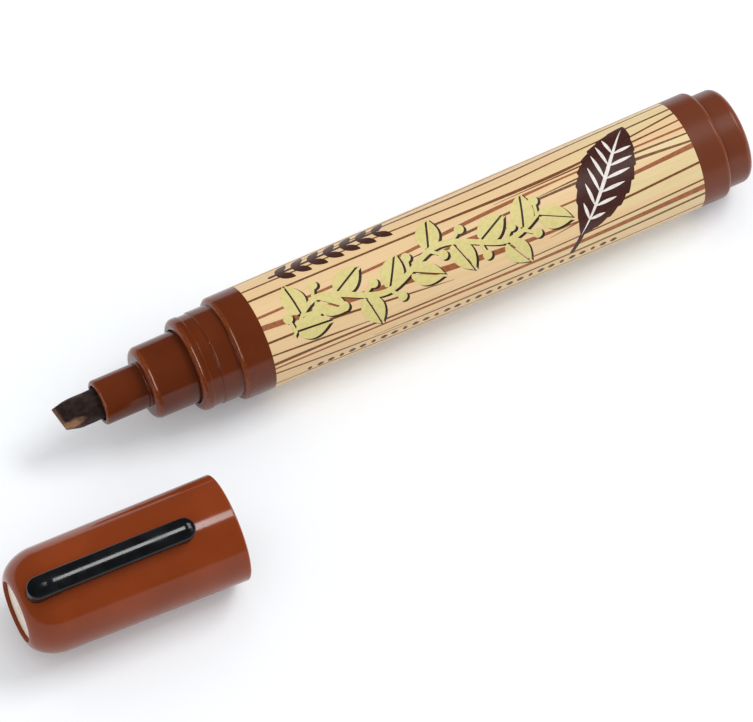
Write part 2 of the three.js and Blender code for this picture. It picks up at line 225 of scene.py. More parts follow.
def bare_material(name):
    """A new material, its tree, its shader, and where a point lies on its piece in metres."""
    material = bpy.data.materials.new(name)
    material.use_nodes = True
    tree = material.node_tree
    place = node(tree, "ShaderNodeTexCoord").outputs["Object"]
    return material, tree, tree.nodes["Principled BSDF"], place


def coat(tree, shader, tint, roughness, shine=0.5):
    """Lays on a shader a colour and a roughness that vary over the piece, and sets how much it shines."""
    tree.links.new(tint, shader.inputs["Base Color"])
    tree.links.new(roughness, shader.inputs["Roughness"])
    shader.inputs["Specular IOR Level"].default_value = shine


def moulded_plastic(name, deep, pale, edge, gloss, shine, handled=None):
    """Polypropylene off a polished mould: faint flow marks, a fine skin, and outer edges painted paler,
    partly wear and partly a painted highlight.

    A handled piece pales to that colour and dulls along its grip towards the rear, edges and all.
    """
    material, tree, shader, place = bare_material(name)
    flow = cloud(tree, place, 110, 3)
    skin = cloud(tree, place, 2600, 2)
    ripple = cloud(tree, place, 420, 1)
    tint = blend(tree, spread(tree, flow, 0.3, 0.7, 0, 1), deep, pale)
    roughness = spread(tree, flow, 0.25, 0.75, gloss - 0.03, gloss + 0.04)
    # Rounded outer edges blend to the edge colour: partly wear, partly a painted highlight where light
    # catches them.
    edge_wear_and_highlight = node(tree, "ShaderNodeAttribute", {"attribute_name": "edge_wear_and_highlight"}).outputs["Fac"]
    highlight_and_wear = maths(tree, "MULTIPLY", edge_wear_and_highlight, spread(tree, skin, 0.3, 0.7, 0.35, 0.85))
    if handled:
        along = node(tree, "ShaderNodeSeparateXYZ", None, {0: place}).outputs[0]
        grip = (GRIP_START * MM, GRIP_END * MM)
        tint = blend(tree, spread(tree, along, *grip, 0, 0.9), tint, handled)
        roughness = maths(tree, "ADD", roughness, spread(tree, along, *grip, 0, 0.14))
        highlight_and_wear = maths(tree, "MULTIPLY", highlight_and_wear, spread(tree, along, *grip, 1, 0.4))
    coat(tree, shader, blend(tree, highlight_and_wear, tint, edge), roughness, shine)
    height = maths(tree, "MULTIPLY_ADD", ripple, 3.0, skin)
    relief(tree, shader, height, depth=0.0012)
    shader.inputs["IOR"].default_value = 1.49
    return material


# The edge colour paints the rounded edges paler: partly wear, partly a painted highlight.
body_plastic = moulded_plastic(
    "body_plastic",
    deep=seen(94, 39, 13),
    pale=seen(103, 44, 17),
    edge=seen(146, 72, 36),
    gloss=0.15,
    shine=0.28,
    handled=seen(112, 55, 31),
)


def barrel_outline():
    neck_front = -NECK_LENGTH
    groove_front = neck_front + BEAD_WIDTH
    groove_rear = groove_front + GROOVE_WIDTH
    groove_radius = NECK_RADIUS - GROOVE_DEPTH
    panel_front = LABEL_START - LABEL_GAP
    panel_rear = LABEL_START + LABEL_LENGTH + LABEL_GAP
    panel_depth = LABEL_THICKNESS + LABEL_GAP
    return [
        (neck_front, NECK_BORE, 2 * FINE_EDGE),
        (neck_front, NECK_RADIUS, NECK_EDGE),
        (groove_front, NECK_RADIUS, FINE_EDGE),
        (groove_front + GROOVE_SLOPE, groove_radius, FINE_EDGE),
        (groove_rear, groove_radius, FINE_EDGE),
        (groove_rear + GROOVE_SLOPE, NECK_RADIUS, FINE_EDGE),
        (0, NECK_RADIUS, FINE_EDGE),
        (0, SHOULDER_RADIUS, SHOULDER_EDGE),
        (panel_front, barrel_radius(panel_front), FINE_EDGE / 2),
        (panel_front, barrel_radius(panel_front) - panel_depth, FINE_EDGE / 2),
        (panel_rear, barrel_radius(panel_rear) - panel_depth, FINE_EDGE / 2),
        (panel_rear, barrel_radius(panel_rear), FINE_EDGE / 2),
        (BARREL_LENGTH, REAR_RADIUS, BARREL_REAR_EDGE),
        (BARREL_LENGTH, BORE_REAR, FINE_EDGE),
        (STEP_WALL, BORE_FRONT, FINE_EDGE),
        (STEP_WALL, NECK_BORE, FINE_EDGE),
    ]


barrel = shaped("barrel_moulding", turned(barrel_outline(), closed=True), marker_frame, body_plastic)
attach(barrel, "marker")
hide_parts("barrel")

# Ink reservoir. A wad of polyester fibre soaked with stain, rolled in a thin clear film and pushed into the
# barrel from the rear. Nothing shows of it on a closed marker, so the solids stay and get their finishes.
def lengthwise(tree, place, squeeze):
    """The place squeezed along the marker, so that marks there are drawn out lengthwise."""
    inputs = {"Vector": place, "Scale": (squeeze, 1, 1)}
    return node(tree, "ShaderNodeMapping", None, inputs).outputs[0]


def stained_fibre(name, dark, light):
    """Fibres that lie along the marker, soaked with stain."""
    material, tree, shader, place = bare_material(name)
    strands = cloud(tree, lengthwise(tree, place, 0.06), 5200, 3)
    blotches = cloud(tree, place, 700, 3)
    stain = maths(tree, "MULTIPLY_ADD", blotches, 0.6, maths(tree, "MULTIPLY", strands, 0.6))
    tint = blend(tree, spread(tree, stain, 0.4, 0.8, 0, 1), dark, light)
    coat(tree, shader, tint, spread(tree, strands, 0.3, 0.7, 0.62, 0.9))
    relief(tree, shader, strands, depth=0.04)
    return material


def clear_film(name, deep, pale):
    """Thin film with faint lengthwise drawing marks."""
    material, tree, shader, place = bare_material(name)
    marks = cloud(tree, lengthwise(tree, place, 0.1), 1500, 2)
    coat(tree, shader, blend(tree, marks, deep, pale), spread(tree, marks, 0.3, 0.7, 0.25, 0.4))
    relief(tree, shader, marks, depth=0.004)
    return material


def refinish(name, material):
    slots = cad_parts[name].data.materials
    slots.clear()
    slots.append(material)


refinish("reservoir_core", stained_fibre("wad_fibre", seen(48, 24, 15), seen(92, 52, 36)))
refinish("reservoir_wrap", clear_film("wrap_film", seen(214, 208, 196), seen(234, 230, 220)))

# Nib holder. A stepped brown turning loaded from the rear: a slim tube round the nib, then a thicker collar
# that the cap's liner seals on. The tube's mouth is counterbored, which leaves a dark gap round the felt.
TUBE_RADIUS = 3.48
TUBE_LENGTH = 7.2
TUBE_EDGE = 0.42
TUBE_FILLET = 0.2
MOUTH_RADIUS = 2.78
MOUTH_DEPTH = 2.4
CHANNEL_RADIUS = 2.4
COLLAR_FRONT = 5.6
COLLAR_REAR = 5.75
COLLAR_LENGTH = 6.9
COLLAR_EDGE = 1.0
COLLAR_WALL = 1.3
SEAT_GAP = 0.05
FLANGE_RADIUS = 6.53
FLANGE_THICKNESS = 1.6
COLLAR_FACE = -NECK_LENGTH - COLLAR_LENGTH
TUBE_MOUTH = COLLAR_FACE - TUBE_LENGTH


def nib_holder_outline():
    flange_front = STEP_WALL + SEAT_GAP
    flange_rear = flange_front + FLANGE_THICKNESS
    cavity_front = COLLAR_FACE + COLLAR_WALL + COLLAR_EDGE
    cavity_radius = COLLAR_FRONT - COLLAR_WALL
    return [
        (TUBE_MOUTH, MOUTH_RADIUS, TUBE_EDGE / 2),
        (TUBE_MOUTH, TUBE_RADIUS, TUBE_EDGE),
        (COLLAR_FACE, TUBE_RADIUS, TUBE_FILLET),
        (COLLAR_FACE, COLLAR_FRONT, COLLAR_EDGE),
        (flange_front, COLLAR_REAR, FINE_EDGE),
        (flange_front, FLANGE_RADIUS, FINE_EDGE),
        (flange_rear, FLANGE_RADIUS, FINE_EDGE),
        (flange_rear, cavity_radius, FINE_EDGE),
        (cavity_front, cavity_radius, FINE_EDGE),
        (cavity_front, CHANNEL_RADIUS, FINE_EDGE),
        (TUBE_MOUTH + MOUTH_DEPTH, CHANNEL_RADIUS, FINE_EDGE),
        (TUBE_MOUTH + MOUTH_DEPTH, MOUTH_RADIUS, FINE_EDGE),
    ]


holder_shape = turned(nib_holder_outline(), closed=True)
nib_holder = shaped("nib_holder_turning", holder_shape, marker_frame, body_plastic)
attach(nib_holder, "marker")
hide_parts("nib_holder")

# Nib. A rod of pressed polyester felt, ground to a wedge and cut across at a slant, so that it draws a
# broad or a fine line. It is soaked dark with stain, and painted paler at the corner that meets the wood and
# along the cut, partly wear and partly a painted highlight.
NIB_RADIUS = 2.35
NIB_REACH = 6.7
NIB_EDGE_WIDTH = 3.6
NIB_EDGE_THICKNESS = 0.6
NIB_SHOULDER = 3.4
NIB_BEVEL_LENGTH = 5.0
NIB_SLANT = math.radians(14)
NIB_ROLL = math.radians(122)
NIB_ROUND_FROM = 1.6
NIB_LIP = 0.14
NIB_LIP_STEPS = 4
NIB_TAIL = 9.55
NIB_POINT = 2.0
NIB_POINT_RADIUS = 0.7
NIB_SIDES = 96
NIB_STEPS = 64
NIB_STEP_GROWTH = 1.8
FELT_SOFTNESS = 7
FELT_FUZZ = 0.035
# The paler patch at the corner and the pale rim along the cut: partly wear, partly a painted highlight on the
# felt.
PALE_PATCH_AT = Vector((1.5, -1.4))
PALE_PATCH_SPAN = Vector((2.1, 0.7))
PALE_PATCH_REACH = 1.35
PALE_PATCH_RAGGED = 0.3
PALE_RIM = 0.7
PALE_RIM_SHARE = 0.55
NIB_TIP = TUBE_MOUTH - NIB_REACH


def banded(bm, rings):
    """Faces between each ring and the next."""
    for one, other in zip(rings, rings[1:]):
        for k in range(len(one)):
            ahead = (k + 1) % len(one)
            bm.faces.new((one[k], one[ahead], other[ahead], other[k]))


def eased(share):
    share = min(max(share, 0.0), 1.0)
    return share * share * (3 - 2 * share)


def felt_noise(x, y, z, along, across):
    """Noise from -1 to 1 with that many waves for each millimetre along the nib and across it."""
    return noise.noise(Vector((x * along, y * across, z * across)))


def nib_station(bm, highlight_and_wear, start, squareness, inset):
    """One ring of felt. Squareness is 0 where it follows the slanted cut, and the inset rounds the lip."""
    back = start - NIB_TIP
    swell = math.sin(min(back / NIB_SHOULDER, 1) * math.pi / 2)
    radius = NIB_EDGE_WIDTH / 2 + (NIB_RADIUS - NIB_EDGE_WIDTH / 2) * swell
    if start > NIB_TAIL - NIB_POINT:
        taper = (start - NIB_TAIL + NIB_POINT) / NIB_POINT
        radius = NIB_RADIUS + (NIB_POINT_RADIUS - NIB_RADIUS) * taper
    radius -= inset
    bevel = back / NIB_BEVEL_LENGTH
    thick = NIB_EDGE_THICKNESS / 2 * (1 - bevel) + NIB_RADIUS * bevel - inset
    ring = []
    for k in range(NIB_SIDES):
        turn = 2 * math.pi * k / NIB_SIDES
        wide = radius * math.cos(turn)
        deep = radius * math.sin(turn)
        if bevel < NIB_ROUND_FROM:
            pressed = (1 + abs(deep / thick) ** FELT_SOFTNESS) ** (1 / FELT_SOFTNESS)
            deep = deep / pressed
        x = start + (NIB_EDGE_WIDTH / 2 - wide) * math.tan(NIB_SLANT) * (1 - squareness)
        y = deep * math.cos(NIB_ROLL) + wide * math.sin(NIB_ROLL)
        z = deep * math.sin(NIB_ROLL) - wide * math.cos(NIB_ROLL)
        vert = bm.verts.new(Vector((x, y, z)) * MM)
        out = Vector((0, y, z)).normalized() * MM
        vert.co += out * FELT_FUZZ * felt_noise(x, y, z, along=0.7, across=3)
        # Paler patch on the broad face near the corner, and pale rim along the cut: partly wear, partly a
        # painted highlight.
        away = Vector(((x - NIB_TIP - PALE_PATCH_AT.x) / PALE_PATCH_SPAN.x, (wide - PALE_PATCH_AT.y) / PALE_PATCH_SPAN.y))
        ragged = away.length + PALE_PATCH_RAGGED * felt_noise(x, y, z, along=1.2, across=2.5)
        rim = PALE_RIM_SHARE * eased(1 - back / PALE_RIM)
        vert[highlight_and_wear] = max(rim, eased(PALE_PATCH_REACH - ragged) if deep > 0 else 0.0)
        ring.append(vert)
    return ring


def nib_shape():
    bm = bmesh.new()
    highlight_and_wear = bm.verts.layers.float.new("highlight_and_wear")
    rings = []
    for step in range(NIB_LIP_STEPS):
        turn = math.pi / 2 * step / NIB_LIP_STEPS
        start = NIB_TIP + NIB_LIP * (1 - math.sin(turn))
        rings.append(nib_station(bm, highlight_and_wear, start, 0, NIB_LIP * (1 - math.cos(turn))))
    rings.reverse()
    front = NIB_TIP + NIB_LIP
    length = NIB_TAIL - front
    for step in range(1, NIB_STEPS + 1):
        share = step / NIB_STEPS
        start = front + length * share ** NIB_STEP_GROWTH
        rings.append(nib_station(bm, highlight_and_wear, start, eased((start - front) / NIB_BEVEL_LENGTH), 0))
    banded(bm, rings)
    bm.faces.new(rings[-1])
    for k in range(NIB_SIDES // 2):
        loop = [rings[0][k], rings[0][k + 1], rings[0][-k - 1], rings[0][-k]]
        bm.faces.new(list(dict.fromkeys(loop)))
    return bm


def nib_felt():
    """Pressed fibre, nearly black with stain, painted paler at the corner and along the cut: partly wear,
    partly a painted highlight.
    """
    material, tree, shader, place = bare_material("nib_felt")
    strands = cloud(tree, lengthwise(tree, place, 0.16), 4200, 4)
    blotches = cloud(tree, place, 1100, 3)
    soaked = blend(tree, spread(tree, blotches, 0.35, 0.7, 0, 1), seen(38, 24, 20), seen(60, 38, 31))
    # The paler patch and rim mix in the tan: partly wear, partly a painted highlight.
    highlight_and_wear = node(tree, "ShaderNodeAttribute", {"attribute_name": "highlight_and_wear"}).outputs["Fac"]
    streaks = spread(tree, strands, 0.3, 0.7, 0.6, 1.0)
    worn_and_highlit_felt = blend(tree, maths(tree, "MULTIPLY", highlight_and_wear, streaks), soaked, seen(172, 128, 96))
    coat(tree, shader, worn_and_highlit_felt, spread(tree, strands, 0.3, 0.7, 0.5, 0.8), shine=0.3)
    height = maths(tree, "MULTIPLY_ADD", blotches, 1.2, strands)
    relief(tree, shader, height, depth=0.04)
    return material


nib = shaped("nib_wedge", nib_shape(), marker_frame, nib_felt())
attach(nib, "marker")
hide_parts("nib")

# Tail plug. A brown cup pressed into the barrel's rear end to close it on the wad. Its boss stands proud
# with a rounded rim, and a small dimple in its end face marks where the plastic entered the mould.
PLUG_LIP = 0.45
PLUG_REACH = 4.3
PLUG_EDGE = 1.2
PLUG_FIT = 0.1
PLUG_WALL = 1.4
PLUG_END_WALL = 1.7
SPIGOT_LENGTH = 8
SPIGOT_EDGE = 0.4
GATE_RADIUS = 0.7
GATE_DEPTH = 0.15
PLUG_FACE = BARREL_LENGTH + PLUG_REACH


def tail_plug_outline():
    spigot_front = BARREL_LENGTH - SPIGOT_LENGTH
    spigot_radius = BORE_REAR - BARREL_DRAFT * SPIGOT_LENGTH / BARREL_LENGTH - PLUG_FIT
    cup_radius = spigot_radius - PLUG_WALL
    cup_end = PLUG_FACE - PLUG_END_WALL
    seat = BARREL_LENGTH + SEAT_GAP
    return [
        (cup_end, 0, 0),
        (cup_end, cup_radius, FINE_EDGE),
        (spigot_front, cup_radius, FINE_EDGE),
        (spigot_front, spigot_radius, SPIGOT_EDGE),
        (seat, spigot_radius, FINE_EDGE),
        (seat, BORE_REAR + PLUG_LIP, 2 * FINE_EDGE),
        (PLUG_FACE, BORE_REAR + PLUG_LIP, PLUG_EDGE),
        (PLUG_FACE, GATE_RADIUS, FINE_EDGE),
        (PLUG_FACE - GATE_DEPTH, GATE_RADIUS, FINE_EDGE),
        (PLUG_FACE - GATE_DEPTH, 0, 0),
    ]


tail_plug = shaped("tail_plug_cup", turned(tail_plug_outline()), marker_frame, body_plastic)
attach(tail_plug, "marker")
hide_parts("tail_plug")

# Label. A printed film wrapped once round the barrel in its shallow panel, and lapped over itself and glued
# at the back. Its ground is printed tan, like pale wood.
FACING = math.radians(59)
LABEL_MIDDLE_RADIUS = 8.3
LAP_AT = math.radians(210)
LAP_WIDTH = 3.0
LAP_EASE = 1.2
LABEL_SIDES = 240
LABEL_STEPS = 24


def on_label(along, across, lift):
    """A place on the label, in metres: along from its front edge, across up from the line that faces us."""
    x = LABEL_START + along
    turn = FACING + across / LABEL_MIDDLE_RADIUS
    radius = barrel_radius(x) + lift
    return Vector((x, -radius * math.cos(turn), radius * math.sin(turn))) * MM


def label_shape():
    """A spiral of film: its last stretch rides up over its first."""
    bm = bmesh.new()
    print_map = bm.loops.layers.uv.new("print_mm")
    end = (LAP_AT - FACING) * LABEL_MIDDLE_RADIUS
    start = end - 2 * math.pi * LABEL_MIDDLE_RADIUS
    stations = [start + (end + LAP_WIDTH - start) * i / LABEL_SIDES for i in range(LABEL_SIDES + 1)]
    mapped = {}
    layers = []
    for depth in (0.0, LABEL_THICKNESS):
        sheet = []
        for across in stations:
            lift = LABEL_THICKNESS * eased((across - end + LAP_EASE) / LAP_EASE) - depth
            row = []
            for j in range(LABEL_STEPS + 1):
                along = LABEL_LENGTH * j / LABEL_STEPS
                vert = bm.verts.new(on_label(along, across, lift))
                mapped[vert] = (along, across)
                row.append(vert)
            sheet.append(row)
        layers.append(sheet)
    outer, inner = layers
    for i in range(LABEL_SIDES):
        for j in range(LABEL_STEPS):
            bm.faces.new((outer[i][j], outer[i][j + 1], outer[i + 1][j + 1], outer[i + 1][j]))
            bm.faces.new((inner[i][j], inner[i + 1][j], inner[i + 1][j + 1], inner[i][j + 1]))
        for j in (0, LABEL_STEPS):
            bm.faces.new((outer[i][j], outer[i + 1][j], inner[i + 1][j], inner[i][j]))
    for i in (0, LABEL_SIDES):
        for j in range(LABEL_STEPS):
            bm.faces.new((outer[i][j], outer[i][j + 1], inner[i][j + 1], inner[i][j]))
    for face in bm.faces:
        for loop in face.loops:
            loop[print_map].uv = mapped[loop.vert]
    return bm


def wood_print():
    """Tan film with a faint lengthwise figure, yellower towards the rear."""
    material, tree, shader, place = bare_material("label_film")
    print_mm = node(tree, "ShaderNodeUVMap", {"uv_map": "print_mm"}).outputs[0]
    along = node(tree, "ShaderNodeSeparateXYZ", None, {0: print_mm}).outputs[0]
    drawn_out = lengthwise(tree, print_mm, 0.05)
    figure = cloud(tree, drawn_out, 1.6, 3)
    patches = cloud(tree, drawn_out, 0.35, 1)
    towards_rear = spread(tree, along, 24, 60, 0.1, 1)
    yellowing = maths(tree, "MULTIPLY", towards_rear, spread(tree, patches, 0.4, 0.6, 0, 1))
    ground = blend(tree, yellowing, seen(232, 199, 152), seen(228, 207, 157))
    shaded = blend(tree, spread(tree, figure, 0.35, 0.75, 0, 0.35), ground, seen(218, 178, 128))
    skin = cloud(tree, place, 900, 2)
    coat(tree, shader, shaded, spread(tree, skin, 0.3, 0.7, 0.38, 0.48), shine=0.3)
    relief(tree, shader, skin, depth=0.003)
    return material


label = shaped("label_wrap", label_shape(), marker_frame, wood_print())
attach(label, "marker")
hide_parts("label_sleeve")

# Print on the label. Screened inks that stand a hair's breadth proud of the film: brown stripes of wood
# grain, a pale garland of leaves with a dark shadow, a dark leaf with white veins, a sprig, and a row of
# lozenges. The lift of an ink, in millimetres, sets which one lies on top.
INK_ROOT = 0.03
INK_STEP = 0.6
INK_WELD = 1e-5
LEAF_FULLNESS = 0.8
TOOTH_DEPTH = 0.1


def inked(name, shapes, lift, ink):
    """Flat shapes in label millimetres, joined where they overlap and wrapped on the film as one layer."""
    points = []
    faces = []
    for shape in shapes:
        faces.append(list(range(len(points), len(points) + len(shape))))
        points += [Vector(point) for point in shape]
    left = min(point.x for point in points) - 1
    right = max(point.x for point in points) + 1
    bottom = min(point.y for point in points)
    top = max(point.y for point in points)
    creases = []
    for i in range(1, math.ceil((top - bottom) / INK_STEP)):
        creases.append((len(points), len(points) + 1))
        across = bottom + i * INK_STEP
        points += [Vector((left, across)), Vector((right, across))]
    cut = geometry.delaunay_2d_cdt(points, creases, faces, 0, INK_WELD)
    corners, triangles, owners = cut[0], cut[2], cut[5]
    bm = bmesh.new()
    layers = []
    for height in (lift, -INK_ROOT):
        layers.append([bm.verts.new(on_label(point.x, point.y, height)) for point in corners])
    upper, lower = layers
    walls = {}
    for triangle, owner in zip(triangles, owners):
        if not owner:
            continue
        bm.faces.new([upper[i] for i in triangle])
        bm.faces.new([lower[i] for i in reversed(triangle)])
        for i, j in zip(triangle, triangle[1:] + triangle[:1]):
            walls[i, j] = walls.pop((j, i), 0) + 1
    for (i, j), count in walls.items():
        if count == 1:
            bm.faces.new((upper[j], upper[i], lower[i], lower[j]))
    loose = [vert for vert in bm.verts if not vert.link_faces]
    bmesh.ops.delete(bm, geom=loose, context="VERTS")
    printed = shaped(name, bm, marker_frame, ink)
    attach(printed, "marker")


def screen_ink(name, thin, full, roughness):
    """Ink laid through a screen: slightly uneven cover and a soft sheen."""
    material, tree, shader, place = bare_material(name)
    cover = cloud(tree, place, 1800, 3)
    tint = blend(tree, spread(tree, cover, 0.3, 0.65, 0, 1), thin, full)
    uneven = spread(tree, cover, 0.3, 0.7, roughness - 0.05, roughness + 0.05)
    coat(tree, shader, tint, uneven, shine=0.4)
    relief(tree, shader, cover, depth=0.003)
    return material


def disc(centre, radius, sides=14):
    turns = [2 * math.pi * k / sides for k in range(sides)]
    return [(centre[0] + radius * math.cos(t), centre[1] + radius * math.sin(t)) for t in turns]


def stroke(start, end, width, round_steps=6):
    """A straight stroke of a pen with round ends."""
    start = Vector(start)
    end = Vector(end)
    ahead = (end - start).normalized() * width / 2
    outline = []
    for centre, first in ((end, -90), (start, 90)):
        for k in range(round_steps + 1):
            turn = math.radians(first + 180 * k / round_steps)
            outline.append(tuple(centre + Matrix.Rotation(turn, 2) @ ahead))
    return outline


def pointed_leaf(base, tip, width, teeth=0, steps=24):
    """A leaf from its base to its tip, with small teeth along both sides."""
    base = Vector(base)
    along = Vector(tip) - base
    across = Vector((-along.y, along.x)).normalized()
    sides = {1: [], -1: []}
    for i in range(steps + 1):
        share = i / steps
        half = width / 2 * math.sin(math.pi * share) ** LEAF_FULLNESS
        if teeth:
            half *= 1 - TOOTH_DEPTH * ((share * teeth) % 1)
        for side in sides:
            sides[side].append(tuple(base + along * share + across * side * half))
    return sides[-1] + sides[1][-2:0:-1]


def placed(shapes, along, across, tilt=0.0):
    turn = Matrix.Rotation(math.radians(tilt), 2)
    return [[tuple(turn @ Vector(point) + Vector((along, across))) for point in shape] for shape in shapes]


def flowing(knots, steps=10):
    """Points (along, across, width) on a smooth line through its knots."""
    line = []
    last = len(knots) - 1
    for i in range(last):
        here, there = Vector(knots[i]), Vector(knots[i + 1])
        before, after = Vector(knots[max(i - 1, 0)]), Vector(knots[min(i + 2, last)])
        for step in range(steps):
            t = step / steps
            leave, arrive = (there - before) / 2, (after - here) / 2
            bend = here * (2 * t ** 3 - 3 * t ** 2 + 1) + there * (3 * t ** 2 - 2 * t ** 3)
            line.append(bend + leave * (t ** 3 - 2 * t ** 2 + t) + arrive * (t ** 3 - t ** 2))
    return line + [Vector(knots[last])]


def stripe(knots):
    """The outline of a line whose width swells and tapers along its length."""
    line = flowing(knots)
    lower = [(point.x, point.y - point.z / 2) for point in line]
    upper = [(point.x, point.y + point.z / 2) for point in line]
    return lower + upper[::-1]


GRAIN = [
    [(0, 11.4, 0.3), (30, 11.0, 0.4), (50, 11.5, 0.3), (71.8, 11.9, 0.4)],
    [(9, 9.9, 0.05), (24, 9.5, 0.4), (40, 9.2, 0.5), (57, 9.9, 0.4), (71.8, 10.2, 0.3)],
    [(0, 7.8, 0.35), (20, 7.4, 0.3), (40, 6.8, 0.35), (53, 7.3, 0.3), (71.8, 7.9, 0.35)],
    [(0, 5.4, 0.4), (12, 5.3, 0.35), (30, 5.0, 0.4), (48, 4.7, 0.55), (60, 5.3, 0.3), (71.8, 6.6, 0.35)],
    [(40, 4.1, 0.05), (52, 4.3, 0.25), (62, 4.6, 0.3), (71.8, 5.0, 0.25)],
    [(0, 2.2, 0.4), (20, 2.4, 0.45), (30, 2.9, 0.55), (40, 3.4, 0.6), (52, 3.7, 0.3), (71.8, 3.6, 0.35)],
    [(46, 2.4, 0.05), (54, 2.7, 0.3), (62, 2.8, 0.35), (71.8, 2.5, 0.25)],
    [(22, 1.4, 0.05), (34, 1.7, 0.4), (46, 2.1, 0.35), (60, 2.0, 0.5), (71.8, 1.2, 0.3)],
    [(28, 0.6, 0.05), (34, 0.6, 0.7), (42, 0.1, 0.55), (50, -0.2, 0.3), (60, 0.0, 0.5), (71.8, 0.5, 0.75)],
    [(0, 0.5, 0.85), (10, -0.3, 0.95), (20, -1.1, 1.0), (30, -2.1, 0.95), (40, -2.9, 0.75), (54, -3.4, 0.05)],
    [(0, -1.9, 0.35), (10, -2.2, 0.35), (20, -3.1, 0.3), (30, -4.1, 0.05)],
    [(46, -4.0, 0.05), (54, -3.1, 0.3), (62, -2.7, 0.35), (71.8, -2.2, 0.35)],
    [(0, -4.0, 0.25), (8, -4.5, 0.3), (18, -5.1, 0.05)],
    [(0, -5.6, 0.5), (10, -5.6, 0.4), (24, -5.9, 0.3), (40, -5.9, 0.2), (58, -5.5, 0.25), (71.8, -5.0, 0.3)],
    [(0, -6.4, 0.3), (20, -6.6, 0.35), (40, -6.9, 0.5), (54, -6.8, 0.7), (71.8, -6.3, 1.0)],
    [(0, -7.4, 0.3), (10, -8.2, 0.3), (22, -8.9, 0.05)],
    [(16, -8.1, 0.05), (30, -8.4, 0.3), (46, -8.5, 0.3), (60, -8.2, 0.4), (71.8, -7.7, 0.45)],
    [(0, -10.2, 0.25), (20, -10.9, 0.3), (44, -11.2, 0.25), (71.8, -10.4, 0.35)],
]
HALF_ROUND = math.pi * LABEL_MIDDLE_RADIUS
BROAD_STRIPE = 0.6
broad_grain = []
fine_grain = []
for knots in GRAIN:
    turned_over = []
    for along, across, width in reversed(knots):
        turned_over.append((LABEL_LENGTH - along, HALF_ROUND - across, width))
    widest = max(width for along, across, width in knots)
    layer = fine_grain if widest < BROAD_STRIPE else broad_grain
    layer.extend([stripe(knots), stripe(turned_over)])
broad_ink = screen_ink("broad_grain_ink", seen(166, 99, 58), seen(150, 83, 44), 0.42)
fine_ink = screen_ink("fine_grain_ink", seen(130, 79, 40), seen(112, 64, 29), 0.42)
inked("print_grain", broad_grain, lift=0.006, ink=broad_ink)
inked("print_fine_grain", fine_grain, lift=0.009, ink=fine_ink)

VINE = [
    (4, -2.4, 0.5),
    (9.5, 1.7, 0.9),
    (19.5, -1.7, 0.9),
    (29.5, 1.7, 0.9),
    (39.5, -1.7, 0.8),
    (46.5, 0.6, 0.4),
]
VINE_STEPS = 40
VINE_LEAVES = 13
VINE_FIRST_LEAF = 0.4
VINE_LEAF_LENGTH = 5.6
VINE_LEAF_WIDTH = 3.6
VINE_LEAF_BELLY = 0.85
VINE_LEAF_FOOT = 0.4
VINE_LEAF_RIB = 0.32
VINE_LEAF_LEAN = 52
BERRY_RADIUS = 0.75
BERRY_STALK = 2.3
BERRY_STALK_WIDTH = 0.5
SHADOW_SHIFT = (0.32, -0.32)


def half_leaf(side, steps=14):
    """One half of a small leaf along +X, beside the bare line of its rib."""
    edge = []
    for i in range(1, steps):
        share = i / steps
        half = VINE_LEAF_WIDTH / 2 * math.sin(math.pi * share ** VINE_LEAF_BELLY) ** LEAF_FULLNESS
        edge.append((VINE_LEAF_LENGTH * share, side * max(half, VINE_LEAF_RIB)))
    beside = side * VINE_LEAF_RIB / 2
    outline = [(VINE_LEAF_FOOT, beside), (VINE_LEAF_LENGTH, beside)] + edge[::-1]
    return outline if side > 0 else outline[::-1]


garland = [stripe(VINE)]
vine_line = flowing(VINE, VINE_STEPS)
for i in range(VINE_LEAVES):
    at = int((i + VINE_FIRST_LEAF) * (len(vine_line) - 2) / VINE_LEAVES)
    foot = vine_line[at]
    ahead = vine_line[at + 1] - foot
    side = 1 if i % 2 else -1
    lean = math.degrees(math.atan2(ahead.y, ahead.x)) + side * VINE_LEAF_LEAN
    garland += placed([half_leaf(1), half_leaf(-1)], foot.x, foot.y, lean)
    away = Matrix.Rotation(math.radians(lean - side * 2 * VINE_LEAF_LEAN), 2) @ Vector((BERRY_STALK, 0))
    garland.append(stroke(foot.xy, foot.xy + away, BERRY_STALK_WIDTH))
    garland.append(disc(foot.xy + away, BERRY_RADIUS))
pale_ink = screen_ink("pale_ink", seen(212, 198, 126), seen(220, 207, 137), 0.42)
shadow_ink = screen_ink("shadow_ink", seen(58, 40, 20), seen(44, 28, 14), 0.45)
inked("print_garland_shadow", placed(garland, *SHADOW_SHIFT), lift=0.012, ink=shadow_ink)
inked("print_garland", garland, lift=0.02, ink=pale_ink)

LEAF_LENGTH = 19.5
LEAF_WIDTH = 8.6
LEAF_PLACE = (57.5, 1.4, 47)
LEAF_FOOT = -LEAF_LENGTH / 2
LEAF_TIP = LEAF_LENGTH / 2
LEAF_STALK = 3
LEAF_STALK_BEND = 0.5
LEAF_STALK_LAP = 1
LEAF_STALK_WIDTH = 0.7
RIB_WIDTH = 0.55
RIB_SHORT = 0.8
VEIN_COUNT = 6
VEIN_START = -0.36 * LEAF_LENGTH
VEIN_SPAN = 0.66 * LEAF_LENGTH
VEIN_REACH = 0.36 * LEAF_WIDTH
VEIN_SWELL = 0.56
VEIN_FULLNESS = 0.9
VEIN_WIDTH = 0.5
leaf = [
    pointed_leaf((LEAF_FOOT, 0), (LEAF_TIP, 0), LEAF_WIDTH, teeth=9, steps=54),
    stroke((LEAF_FOOT - LEAF_STALK, -LEAF_STALK_BEND), (LEAF_FOOT + LEAF_STALK_LAP, 0), LEAF_STALK_WIDTH),
]
veins = [pointed_leaf((LEAF_FOOT, 0), (LEAF_TIP - RIB_SHORT, 0), RIB_WIDTH)]
